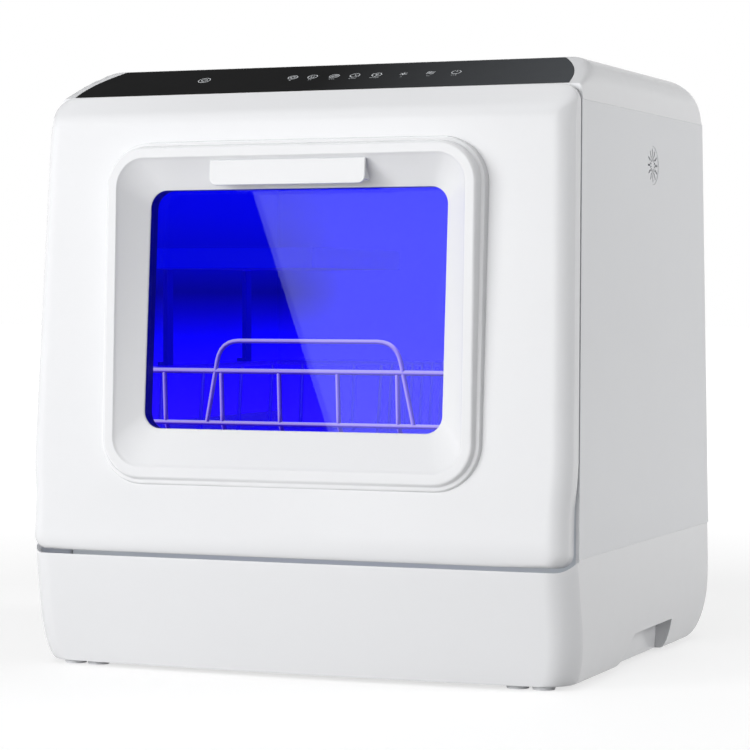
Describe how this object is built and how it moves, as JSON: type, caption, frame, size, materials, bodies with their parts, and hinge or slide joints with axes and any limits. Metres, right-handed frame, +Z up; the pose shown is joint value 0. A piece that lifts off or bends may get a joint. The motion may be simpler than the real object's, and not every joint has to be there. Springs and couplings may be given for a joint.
{
  "type": "countertop dishwasher",
  "caption": "Small free-standing dishwasher with a drop-down windowed door, sloping touch strip, wire basket on rails and wash machinery under the tub.",
  "frame": {"origin": "middle of the machine's footprint, front to rear and side to side, on the surface it stands on", "axes": "+Z up, -Y out of the door, +X to the right when facing the door"},
  "size_m": [0.4218, 0.3684, 0.442],
  "materials": {
    "board": "circuit board",
    "clear_glass": "clear, blue-tinted pane",
    "dark_plastic": "satin black moulding",
    "grey_plastic": "satin grey moulding",
    "hose": "ribbed grey hose",
    "lamp_lens": "frosted lens, lit blue",
    "orange_part": "moulded",
    "seal_rubber": "matt black rubber",
    "steel": "brushed",
    "strip_glass": "polished near-black panel",
    "tray_plastic": "moulded tray, blue in the lamp light",
    "tub_liner": "smooth liner, blue under its lamps",
    "white_shell": "smooth white moulding, high gloss",
    "wire_coat": "plastic-coated wire"
  },
  "bodies": {
    "cabinet": {"base_housing": "white_shell", "door_well": "grey_plastic", "feet": "seal_rubber", "side_panel_left": "white_shell", "side_panel_right": "white_shell", "rear_panel": "white_shell", "top_cover": "white_shell", "front_frame": "grey_plastic", "control_strip": "strip_glass", "control_board": "board", "vent_grille": "dark_plastic", "casing_screws": "steel", "hinge_bracket_left": "steel", "hinge_bracket_right": "steel", "tub": "tub_liner", "tub_gasket": "seal_rubber", "sump": "grey_plastic", "filter_plate": "steel", "spray_axle": "grey_plastic", "light_lens": "lamp_lens", "rack_rails": "grey_plastic", "water_tank": "tray_plastic", "fill_funnel": "grey_plastic", "wash_pump": "dark_plastic", "drain_pump": "dark_plastic", "heater": "steel", "wash_hose": "hose", "sump_hose": "hose", "drain_hose": "hose", "fan_housing": "dark_plastic", "air_duct": "grey_plastic", "power_board": "board", "latch_body": "dark_plastic", "door_switch": "dark_plastic", "water_inlet": "white_shell", "drain_outlet": "white_shell", "power_inlet": "dark_plastic"},
    "door": {"door_shell": "white_shell", "window_surround": "white_shell", "door_glass": "clear_glass", "inner_glass": "clear_glass", "glass_seal": "seal_rubber", "door_liner": "grey_plastic", "door_handle": "white_shell", "latch_strike": "steel", "door_screws": "steel", "hinge_arm_left": "steel", "hinge_arm_right": "steel"},
    "rack": {"basket": "wire_coat", "plate_tines": "wire_coat", "cup_shelf": "tray_plastic"},
    "spray": {"spray_arm": "grey_plastic"},
    "filter": {"filter_cup": "steel"},
    "wash_rotor": {"wash_impeller": "grey_plastic"},
    "drain_rotor": {"drain_impeller": "grey_plastic"},
    "fan_rotor": {"fan_impeller": "dark_plastic"},
    "fill_lid": {"fill_cap": "white_shell"},
    "bolt": {"lock_bolt": "orange_part"},
    "float": {"leak_float": "orange_part"}
  },
  "joints": [
    {"name": "door_hinge", "type": "hinge", "parent": "cabinet", "child": "door", "pos_m": [0, -0.15004, 0.1177], "axis": [1, 0, 0], "range_deg": [0, 90]},
    {"name": "rack_slide", "type": "slide", "parent": "cabinet", "child": "rack", "axis": [0, -1, 0], "range_m": [0, 0.1]},
    {"name": "spray_arm_spin", "type": "hinge", "parent": "cabinet", "child": "spray", "pos_m": [0, 0.015, 0.129], "axis": [0, 0, 1], "continuous": true},
    {"name": "filter_twist", "type": "hinge", "parent": "cabinet", "child": "filter", "pos_m": [0.062, 0.07, 0.11], "axis": [0, 0, 1], "range_deg": [0, 60]},
    {"name": "wash_impeller_spin", "type": "hinge", "parent": "cabinet", "child": "wash_rotor", "pos_m": [-0.056, 0.06, 0.042], "axis": [1, 0, 0], "continuous": true},
    {"name": "drain_impeller_spin", "type": "hinge", "parent": "cabinet", "child": "drain_rotor", "pos_m": [0.07, -0.05, 0.034], "axis": [1, 0, 0], "continuous": true},
    {"name": "fan_spin", "type": "hinge", "parent": "cabinet", "child": "fan_rotor", "pos_m": [0.1998, 0.042, 0.3696], "axis": [-1, 0, 0], "continuous": true},
    {"name": "fill_cap_lift", "type": "slide", "parent": "cabinet", "child": "fill_lid", "axis": [0, 0, 1], "range_m": [0, 0.03]},
    {"name": "lock_bolt_slide", "type": "slide", "parent": "cabinet", "child": "bolt", "axis": [0, -0.0745, -0.9972], "range_m": [0, 0.0065]},
    {"name": "leak_float_rise", "type": "slide", "parent": "cabinet", "child": "float", "axis": [0, 0, 1], "range_m": [0, 0.008]}
  ],
  "couplings": [
    {"joint": "rack_slide", "follows": "door_hinge", "m_per_rad": 0.06364}
  ]
}
